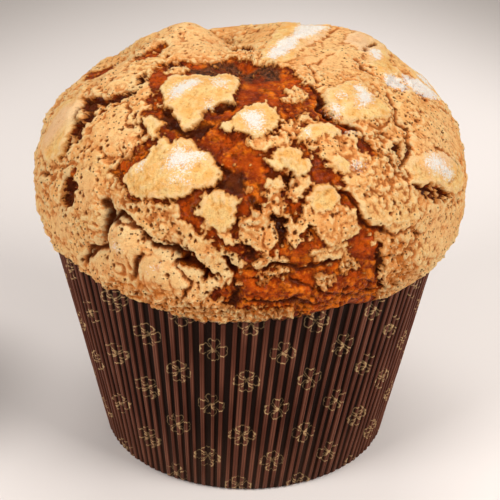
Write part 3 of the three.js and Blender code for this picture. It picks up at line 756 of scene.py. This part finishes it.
def make_loaf():
    """A half ball whose rim is drawn under, round the case's edge and down inside the case."""
    deselect_all()
    bpy.ops.mesh.primitive_ico_sphere_add(subdivisions=8, radius=1)
    loaf = active("loaf_crust")
    edit(loaf)
    select_mesh()
    bpy.ops.mesh.bisect(plane_co=(0, 0, 0), plane_no=(0, 0, 1), clear_inner=True, threshold=1e-6)
    leave_edit()
    crown_count = len(loaf.data.vertices)
    edit(loaf)
    bpy.ops.mesh.select_mode(type="EDGE")
    select_mesh("DESELECT")
    bpy.ops.mesh.select_non_manifold()
    for _ in range(RINGS_BELOW):
        bpy.ops.mesh.extrude_edges_move()
    bpy.ops.mesh.edge_face_add()
    bpy.ops.mesh.quads_convert_to_tris()
    leave_edit()

    ball = gathered(points_of(loaf))
    lon = longitude(ball)
    crown = np.arange(len(ball)) < crown_count
    up = np.degrees(np.arcsin(np.clip(ball[crown, 2], 0, 1))) / 90
    lowest = elevation_at(lip_height(lon[crown]) + LIP_ROUNDING)
    el = lowest + (90 - lowest) * up
    rays = direction(lon[crown], el)
    fields = crust_fields(rays)
    # How far each point lies below its neighbours; the material paints shade in these hollows and a
    # highlight on the crests.
    fields["nook"] = np.clip(sunken(loaf, fields["height"], 10), -1, 1)
    reach = plain_reach(el) + fields["height"]
    points = rays * reach[:, None] + (CROWN_OFFSET, 0, CROWN_LEVEL)
    flat = np.hypot(points[:, 0], points[:, 1])
    least = case_radius(points[:, 2]) + LIP_THICKNESS
    push = np.where((points[:, 2] < CASE_HEIGHT) & (flat < least), least / np.maximum(flat, 1), 1)
    points[:, :2] *= push[:, None]

    # The rings below the crown: under the lip, over the case's edge, and down to its floor.
    placed = np.zeros_like(ball)
    placed[crown] = points
    foot = FOOT_HEIGHT + FIT
    per_ring = (len(ball) - crown_count) // RINGS_BELOW
    lip = lip_height(lon[crown_count:crown_count + per_ring])
    places = [
        (case_radius(lip) + FIT, lip),
        (case_radius(CASE_HEIGHT) + FIT, CASE_HEIGHT + FIT),
        (inner_case_radius(CASE_HEIGHT), CASE_HEIGHT + FIT),
        (inner_case_radius(foot), foot),
        (inner_case_radius(foot) - FOOT_INSET, PAPER + FIT),
    ]
    for number, (radius, z) in enumerate(places):
        first = crown_count + number * per_ring
        these = slice(first, first + per_ring)
        placed[these] = ring_points(lon[these], radius, z)
    move_points(loaf, placed * MM)

    for name in fields:
        values = np.zeros(len(ball))
        values[crown] = fields[name]
        paint(loaf, name, values)
    face_outward(loaf)
    bpy.ops.object.shade_smooth()
    return loaf


# The paper case

def pleat_offsets(phase, number):
    """How far inside the ridges the paper runs, for a place 0 to 1 across each pleat."""
    from_ridge = np.abs(phase - 0.5)
    half = 0.15 + 0.11 * scatter_value(number, 2, 0, 93)
    groove = 0.14 * (from_ridge / half) ** 2 + smooth(half, half + 0.18, from_ridge)
    groove = np.minimum(groove + 0.3 * np.exp(-(from_ridge / 0.06) ** 2), 1)
    depth = PLEAT_DEPTH * (0.8 + 0.2 * scatter_value(number, 1, 0, 91))
    return depth * groove


def lay_print(case, print_x, print_y):
    """The sheet's flat map, in units of 100 mm, with no face stretched across the seam."""
    corners = read_all(case.data.loops, "vertex_index")
    across = print_x[corners]
    around = 2 * math.pi * case_radius(print_y[corners])
    first = read_all(case.data.polygons, "loop_start")
    sizes = read_all(case.data.polygons, "loop_total")
    highest = np.repeat(np.maximum.reduceat(across, first), sizes)
    across = np.where(highest - across > around / 2, across + around, across)
    uv = np.stack([across, print_y[corners]], axis=1) / PRINT_UNIT
    sheet = case.data.uv_layers.new(name="print")
    sheet.data.foreach_set("uv", uv.astype(np.float32).ravel())


def make_case():
    """A tube of pleated paper, closed below by a flat floor and open at its rim."""
    count = PLEATS * POINTS_A_PLEAT
    rows = [("flat", 0.0)]
    rows += [("out", z) for z in np.linspace(FOOT_HEIGHT, CASE_HEIGHT, 15)]
    rows += [("in", CASE_HEIGHT), ("in", CASE_HEIGHT / 2), ("in", FOOT_HEIGHT), ("flat", PAPER)]
    deselect_all()
    bpy.ops.mesh.primitive_circle_add(vertices=count, radius=1)
    case = active("case_paper")
    edit(case)
    select_mesh()
    bpy.ops.mesh.edge_face_add()
    select_mesh()
    for _ in rows[1:]:
        bpy.ops.mesh.extrude_region_move()
    leave_edit()

    start = points_of(case)
    lon = longitude(start)
    turn = (lon + 180) / 360 * PLEATS + 1e-4
    placed = np.zeros_like(start)
    print_x, print_y, groove = np.zeros((3, len(start)))
    for number, (kind, z) in enumerate(rows):
        these = slice(number * count, (number + 1) * count)
        pleat = np.floor(turn[these]).astype(np.int64)
        phase = turn[these] - pleat
        jitter = 0.3 * (scatter_value(pleat, 3, 0, 92) - 0.5)
        bent = np.clip(phase + jitter * np.sin(math.pi * phase), 0, 1)
        offset = pleat_offsets(bent, pleat) + 0.12 * np.sin(z / 9 + 1.7 * pleat)
        offset = np.clip(offset, 0, PLEAT_DEPTH)
        groove[these] = offset / PLEAT_DEPTH
        radius = case_radius(z) - offset
        if kind == "in":
            radius = radius - PAPER
        if kind == "flat":
            radius = case_radius(FOOT_HEIGHT) - FOOT_INSET
        lean = math.tan(math.radians(PLEAT_LEAN)) * (z - CASE_HEIGHT / 2) / case_radius(z)
        placed[these] = ring_points(lon[these] + math.degrees(lean), radius, z)
        arc = np.radians(lon[these]) * case_radius(z)
        drift = 0.2 * np.clip(-42 - arc, 0, 35) + 2.0 * smooth(10, 30, arc)
        print_x[these] = arc + drift + 0.3 * np.sin(2 * math.pi * phase)
        print_y[these] = z + 4.5 * smooth(-50, -62, arc)
    move_points(case, placed * MM)
    paint(case, "groove", groove)
    face_outward(case)
    lay_print(case, print_x, print_y)
    bpy.ops.object.shade_smooth()
    return case


# Materials

def colour(red, green, blue):
    """A colour given as it looks on screen, 0 to 255, in the shader's own terms."""
    def linear(value):
        value /= 255
        return value / 12.92 if value <= 0.04045 else ((value + 0.055) / 1.055) ** 2.4
    return (linear(red), linear(green), linear(blue), 1)


class Shader:
    """A material's nodes, added one by one."""

    def __init__(self, name):
        self.material = bpy.data.materials.new(name)
        self.material.use_nodes = True
        self.nodes = self.material.node_tree.nodes
        self.links = self.material.node_tree.links
        self.surface = self.nodes["Principled BSDF"]
        self.place = self.nodes.new("ShaderNodeTexCoord").outputs["Object"]

    def feed(self, socket, value):
        if isinstance(value, bpy.types.NodeSocket):
            self.links.new(value, socket)
        else:
            socket.default_value = value

    def dress(self, looks):
        for name, value in looks.items():
            self.feed(self.surface.inputs[name], value)

    def attribute(self, name):
        node = self.nodes.new("ShaderNodeAttribute")
        node.attribute_name = name
        return node.outputs["Fac"]

    def axes(self, vector):
        node = self.nodes.new("ShaderNodeSeparateXYZ")
        self.links.new(vector, node.inputs[0])
        return node.outputs

    def texture(self, kind, size):
        node = self.nodes.new(kind)
        self.links.new(self.place, node.inputs["Vector"])
        node.inputs["Scale"].default_value = 1 / (size * MM)
        return node

    def noise(self, size, detail, rough):
        node = self.texture("ShaderNodeTexNoise", size)
        node.inputs["Detail"].default_value = detail
        node.inputs["Roughness"].default_value = rough
        return node.outputs["Fac"]

    def math(self, operation, *values):
        node = self.nodes.new("ShaderNodeMath")
        node.operation = operation
        for socket, value in zip(node.inputs, values):
            self.feed(socket, value)
        return node.outputs[0]

    def plus(self, a, b):
        return self.math("ADD", a, b)

    def times(self, a, b):
        return self.math("MULTIPLY", a, b)

    def scaled(self, value, factor, offset):
        return self.math("MULTIPLY_ADD", value, factor, offset)

    def length(self, x, y):
        return self.math("SQRT", self.plus(self.times(x, x), self.times(y, y)))

    def ramp(self, value, low, high):
        """0 below low, 1 above high, smooth between. high may be the smaller."""
        node = self.nodes.new("ShaderNodeMapRange")
        node.interpolation_type = "SMOOTHSTEP"
        self.feed(node.inputs["Value"], value)
        node.inputs["From Min"].default_value = min(low, high)
        node.inputs["From Max"].default_value = max(low, high)
        node.inputs["To Min"].default_value = 0 if low < high else 1
        node.inputs["To Max"].default_value = 1 if low < high else 0
        return node.outputs[0]

    def blend(self, amount, first, second, kind="FLOAT"):
        node = self.nodes.new("ShaderNodeMix")
        node.data_type = kind
        left, right, result = {"FLOAT": (2, 3, 0), "RGBA": (6, 7, 2)}[kind]
        self.feed(node.inputs["Factor"], amount)
        self.feed(node.inputs[left], first)
        self.feed(node.inputs[right], second)
        return node.outputs[result]

    def mix(self, amount, first, second):
        """A blend of two colours, each a socket or as it looks on screen."""
        tones = [colour(*tone) if isinstance(tone, tuple) else tone for tone in (first, second)]
        return self.blend(amount, *tones, "RGBA")

    def coats(self, base, *layers):
        """Colours laid over a base one after another, each by its mask and by its share there."""
        for mask, share, tone in layers:
            base = self.mix(self.times(mask, share), base, tone)
        return base

    def bump(self, height, distance, strength):
        node = self.nodes.new("ShaderNodeBump")
        node.inputs["Distance"].default_value = distance * MM
        node.inputs["Strength"].default_value = strength
        self.feed(node.inputs["Height"], height)
        self.feed(self.surface.inputs["Normal"], node.outputs["Normal"])


def crust_material():
    s = Shader("baked_crust")
    fine = s.noise(1.3, 4, 0.75)
    grain = s.noise(0.5, 2, 0.6)
    cloud = s.noise(14, 3, 0.6)
    patch = s.noise(5, 3, 0.6)
    depth, smoothness, crease = s.attribute("glaze"), s.attribute("pale"), s.attribute("fold")

    # Glaze, with edges more ragged than the mesh is fine.
    glaze = s.ramp(s.plus(depth, s.scaled(fine, 0.7, -0.35)), -0.03, 0.06)
    plate = s.ramp(s.plus(s.attribute("plate"), s.scaled(patch, 0.8, -0.4)), 0.25, 0.75)

    # Painted light and shade on the crumbs: a painted highlight on their tips and painted shade in the
    # hollows between them.
    rough = s.plus(s.attribute("nook"), s.scaled(fine, -1.0, 0.5))
    hollow_shade = s.ramp(rough, 0.0, 0.4)
    tip_highlight = s.times(s.ramp(rough, -0.05, -0.45), s.ramp(depth, 0.1, 0.5))
    stain = s.math("MAXIMUM", s.ramp(s.noise(5, 4, 0.7), 0.5, 0.66), s.ramp(crease, 0.02, 0.3))
    gold = s.times(s.attribute("gold"), s.ramp(s.noise(2.4, 3, 0.7), 0.4, 0.56))
    tan = s.coats(
        s.mix(s.ramp(cloud, 0.35, 0.65), (247, 171, 98), (255, 199, 126)),
        # Painted light on the crown's lower sides, which are made paler.
        (s.ramp(s.axes(s.place)["Z"], 0.14, 0.11), 0.5, (255, 210, 142)),
        (smoothness, 0.75, (255, 204, 138)),
        (stain, 0.58, (230, 128, 52)),
        (hollow_shade, 0.8, (194, 106, 46)),
        (tip_highlight, 0.8, (255, 217, 156)),
        (gold, 0.7, (228, 126, 36)),
    )
    pale = s.coats(
        s.mix(s.ramp(patch, 0.35, 0.65), (252, 186, 102), (255, 214, 142)),
        (smoothness, 0.85, (250, 202, 154)),
        (hollow_shade, 0.7, (214, 134, 56)),
        (tip_highlight, 0.5, (255, 218, 168)),
    )

    # Pin holes with painted shade in them, crowded where the glaze is spongy and few on the plates.
    crowd = s.scaled(s.attribute("sponge"), 0.5, 0.36)
    pips = s.texture("ShaderNodeTexVoronoi", 1.7)
    holes = s.ramp(pips.outputs["Distance"], 0.28, 0.15)
    chosen = s.ramp(s.math("SUBTRACT", crowd, pips.outputs["Color"]), 0.0, 0.05)
    holes = s.times(s.times(holes, chosen), s.scaled(plate, -0.85, 1.0))
    deep = s.math("MAXIMUM", holes, s.ramp(s.attribute("pit"), 0.3, 0.75))
    glaze_colour = s.coats(
        s.mix(plate, tan, pale),
        (s.ramp(depth, 0.4, 0.02), 0.7, (208, 118, 44)),
        (s.ramp(grain, 0.58, 0.7), 0.4, (172, 98, 42)),
        (deep, 0.8, (92, 42, 15)),
    )

    # Bare crust, glossy, from amber to dark red-brown.
    warm = s.noise(9, 3, 0.6)
    mottle = s.noise(2.6, 4, 0.7)
    bare = s.coats(
        s.mix(s.ramp(warm, 0.38, 0.64), (112, 30, 0), (172, 64, 1)),
        (s.ramp(s.noise(6, 3, 0.65), 0.47, 0.7), 0.8, (226, 118, 18)),
        (s.ramp(mottle, 0.52, 0.74), 0.4, (216, 106, 16)),
        (s.ramp(mottle, 0.48, 0.32), 0.6, (76, 20, 0)),
        # Painted shade in the hollows of the bare crust, and a painted highlight on its crests.
        (s.ramp(rough, 0.1, 0.5), 0.6, (72, 18, 1)),
        (s.ramp(rough, -0.15, -0.5), 0.45, (226, 122, 30)),
        # Darker beside the glaze's edge: partly burnt crust, partly a painted shadow under the glaze.
        (s.ramp(depth, -0.4, 0.1), 0.5, (84, 22, 0)),
        # Painted shade in the sunken places, partly burnt crust.
        (s.attribute("shade"), 0.85, (44, 9, 1)),
    )
    ash = s.mix(s.ramp(s.noise(1.6, 3, 0.7), 0.4, 0.62), (38, 14, 5), (108, 58, 32))
    bare = s.mix(s.times(s.attribute("ash"), s.ramp(warm, 0.3, 0.52)), bare, ash)

    # Painted shade in the cracks and folds.
    fold = s.ramp(s.plus(crease, s.scaled(fine, 0.6, -0.3)), 0.25, 0.85)
    grains = s.scaled(s.noise(0.8, 2, 0.8), 2.2, -1.1)
    sugar = s.scaled(s.attribute("sugar"), 0.6, s.scaled(patch, 0.6, -0.3))
    sugar = s.ramp(s.plus(sugar, grains), -0.1, 0.3)
    sugar = s.times(sugar, s.scaled(s.ramp(grain, 0.38, 0.56), 0.35, 0.62))
    s.dress({
        "Base Color": s.coats(
            s.mix(glaze, bare, glaze_colour),
            # painted shade in the cracks and folds
            (fold, 0.9, (84, 29, 8)),
            (sugar, glaze, (252, 247, 240)),
        ),
        "Roughness": s.blend(glaze, 0.38, 0.8),
        "Coat Weight": s.blend(glaze, 0.04, 0.0),
        "Coat Roughness": 0.15,
        "Specular IOR Level": 0.18,
        "Specular Tint": (1.0, 0.5, 0.22, 1),
    })
    relief = s.scaled(holes, -0.8, s.times(grain, 0.6))
    relief = s.plus(relief, s.times(fine, s.scaled(glaze, 1.7, 0.4)))
    s.bump(s.plus(relief, glaze), 1.0, 1.0)
    return s.material


def flower_ink(s, x, y):
    """Where the paper is printed: flowers of four heart-shaped petals, in outline."""
    # Each flower's own axes, with every second row moved by half a pitch.
    level = s.math("SUBTRACT", s.scaled(x, math.tan(math.radians(PLEAT_LEAN)), y), FLOWER_START)
    row = s.math("FLOOR", s.scaled(level, 1 / FLOWER_ROW, 0.5))
    shift = s.math("PINGPONG", s.plus(row, 1.0), 1.0)
    px = s.math("PINGPONG", s.scaled(shift, FLOWER_PITCH / 2, x), FLOWER_PITCH / 2)
    py = s.scaled(row, -FLOWER_ROW, level)

    # Only half of one petal is drawn, and the angle is folded.
    distance = s.length(px, py)
    turned = s.math("PINGPONG", s.math("ARCTAN2", py, px), math.pi / 4)
    along = s.times(distance, s.math("COSINE", turned))
    across = s.times(distance, s.math("SINE", turned))
    beyond = s.math("SUBTRACT", along, 0.66 * FLOWER_RADIUS)
    aside = s.math("SUBTRACT", across, 0.17 * FLOWER_RADIUS)
    lobe = s.math("SUBTRACT", s.length(beyond, aside), 0.26 * FLOWER_RADIUS)
    flank = s.scaled(along, -math.sin(PETAL_ANGLE), s.times(across, math.cos(PETAL_ANGLE)))
    petal = s.math("MINIMUM", lobe, s.math("MAXIMUM", flank, beyond))
    outline = s.ramp(s.math("ABSOLUTE", petal), 0.062 * FLOWER_RADIUS, 0.028 * FLOWER_RADIUS)
    ring = s.ramp(s.math("SUBTRACT", distance, 0.1 * FLOWER_RADIUS), 0.003, 0.0)
    worn = s.ramp(s.noise(1.6, 3, 0.7), 0.34, 0.58)
    return s.times(s.math("MAXIMUM", outline, ring), worn)


def case_material():
    s = Shader("printed_paper")
    sheet = s.nodes.new("ShaderNodeUVMap")
    sheet.uv_map = "print"
    flat = s.axes(sheet.outputs["UV"])
    # Painted shade in the pleats' grooves, which also dims the print there.
    groove = s.ramp(s.attribute("groove"), 0.12, 0.7)
    ink = s.times(flower_ink(s, flat["X"], flat["Y"]), s.scaled(groove, -0.6, 1.0))
    fibre = s.noise(0.8, 3, 0.6)
    brown = s.coats(
        s.mix(s.ramp(s.noise(18, 2, 0.5), 0.3, 0.7), (77, 38, 26), (94, 51, 37)),
        (fibre, 0.4, (46, 21, 15)),
        # a painted highlight along the ridges' crests
        (s.ramp(s.attribute("groove"), 0.12, 0.02), 0.3, (136, 88, 68)),
        # painted shade in the grooves
        (groove, 1.0, (17, 5, 2)),
        # painted light from the floor, paler towards the bottom of the case
        (s.ramp(flat["Y"], 0.4, 0.05), 0.045, (190, 134, 106)),
    )
    s.dress({
        "Base Color": s.mix(ink, brown, (176, 144, 102)),
        "Roughness": s.blend(ink, 0.5, 0.4),
        "Specular IOR Level": 0.08,
        "Specular Tint": (1.0, 0.6, 0.45, 1),
    })
    s.bump(fibre, 0.1, 0.4)
    return s.material


def stage_material():
    """Painted light and shade on the floor: paler to the right, a painted shadow in a patch on the left,
    and painted shade darkening it into the distance.
    """
    s = Shader("pale_floor")
    ground = s.axes(s.place)
    x, y = ground["X"], ground["Y"]
    away = s.length(s.times(x, math.sqrt(4.8)), y)
    patch = s.length(s.plus(x, 0.165), s.plus(y, -0.015))
    pale = s.coats(
        s.mix(s.ramp(x, -0.12, 0.1), (216, 209, 205), (227, 220, 216)),
        # painted shade into the distance
        (s.ramp(away, 0.5, 0.85), 1.0, (170, 163, 158)),
        # a painted shadow in a patch on the left
        (s.ramp(patch, 0.09, 0.02), 0.85, (134, 127, 123)),
    )
    s.dress({"Base Color": pale, "Roughness": 0.7, "Specular IOR Level": 0.2})
    return s.material


# The stage

def select_edges(floor, chosen):
    mesh = bmesh.from_edit_mesh(floor.data)
    for edge in mesh.edges:
        edge.select = all(chosen(point.co) for point in edge.verts)
    bmesh.update_edit_mesh(floor.data)


def make_floor():
    """A floor that curves up into a backdrop."""
    deselect_all()
    bpy.ops.mesh.primitive_plane_add(size=1)
    floor = active("backdrop")
    front, back, side, rise, bend = -2.0, 1.6, 3.0, 2.4, 0.9
    move_points(floor, [(x, y, 0) for y in (front, back) for x in (-side, side)])
    edit(floor)
    select_edges(floor, lambda place: abs(place.y - back) < 1e-6)
    bpy.ops.mesh.extrude_edges_move(TRANSFORM_OT_translate={"value": (0, 0, rise)})
    select_edges(floor, lambda place: abs(place.y - back) < 1e-6 and abs(place.z) < 1e-6)
    bpy.ops.mesh.bevel(offset=bend, segments=24, affect="EDGES")
    leave_edit()
    bpy.ops.object.shade_smooth()
    floor.data.materials.append(stage_material())


def add_camera():
    data = bpy.data.cameras.new("photo_camera")
    data.lens = CAMERA_LENS
    data.sensor_width = 36
    data.clip_end = 50
    camera = bpy.data.objects.new("photo_camera", data)
    bpy.context.scene.collection.objects.link(camera)
    pose = Matrix.Translation(Vector(CAMERA_PLACE) * MM)
    for angle, axis in ((-CAMERA_YAW, "Z"), (90 - CAMERA_TILT, "X"), (CAMERA_ROLL, "Z")):
        pose = pose @ Matrix.Rotation(math.radians(angle), 4, axis)
    camera.matrix_world = pose
    bpy.context.scene.camera = camera


def add_softbox(name, place, size, power, tint):
    data = bpy.data.lights.new(name, "AREA")
    data.shape = "RECTANGLE"
    data.size, data.size_y = size
    data.energy = power
    data.color = tint
    lamp = bpy.data.objects.new(name, data)
    bpy.context.scene.collection.objects.link(lamp)
    lamp.location = place
    lamp.rotation_euler = (Vector(LAMP_AIM) - Vector(place)).to_track_quat("-Z", "Y").to_euler()


def light_scene():
    world = bpy.data.worlds.new("soft_room")
    world.use_nodes = True
    room = world.node_tree.nodes["Background"].inputs
    room["Color"].default_value = ROOM_TINT
    room["Strength"].default_value = ROOM_STRENGTH
    bpy.context.scene.world = world
    for name, lamp in LAMPS.items():
        add_softbox(name, *lamp)
    bpy.context.scene.view_settings.view_transform = "Standard"


def main():
    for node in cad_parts.values():
        node.select_set(False)
    add_camera()
    loaf = make_loaf()
    finish_piece(loaf, crust_material(), "loaf")
    case = make_case()
    finish_piece(case, case_material(), "paper_case")
    make_floor()
    light_scene()


main()
